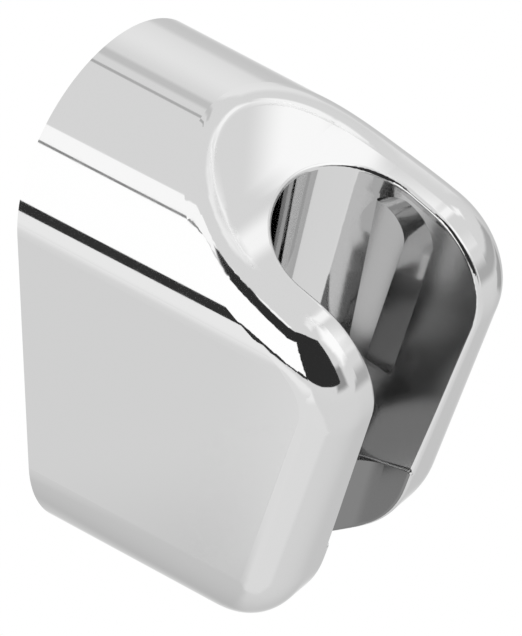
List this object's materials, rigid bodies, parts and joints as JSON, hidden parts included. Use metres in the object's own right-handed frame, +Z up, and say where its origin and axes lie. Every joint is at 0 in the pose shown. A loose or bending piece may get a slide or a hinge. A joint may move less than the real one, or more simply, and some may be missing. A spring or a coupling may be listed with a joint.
{
  "type": "hand shower holder",
  "caption": "Chrome-plated wall holder for a hand shower: a rounded one-piece body with a dished, slanted face and an open tapered fork socket, on a hidden wall bracket.",
  "frame": {"origin": "on the wall plane, midway between the two wall screw holes", "axes": "+Z up, +Y into the wall, the fork points towards -Y"},
  "size_m": [0.04, 0.0541, 0.0788],
  "materials": {
    "plated_body": "mirror-bright chrome plating on ABS",
    "bracket_plastic": "fine matt glass-filled nylon",
    "insert_brass": "turned and knurled brass",
    "screw_steel": "bright stainless steel"
  },
  "bodies": {
    "root": {"holder_body": "plated_body", "wall_bracket": "bracket_plastic", "thread_insert": "insert_brass", "locking_screw": "screw_steel"}
  },
  "joints": []
}
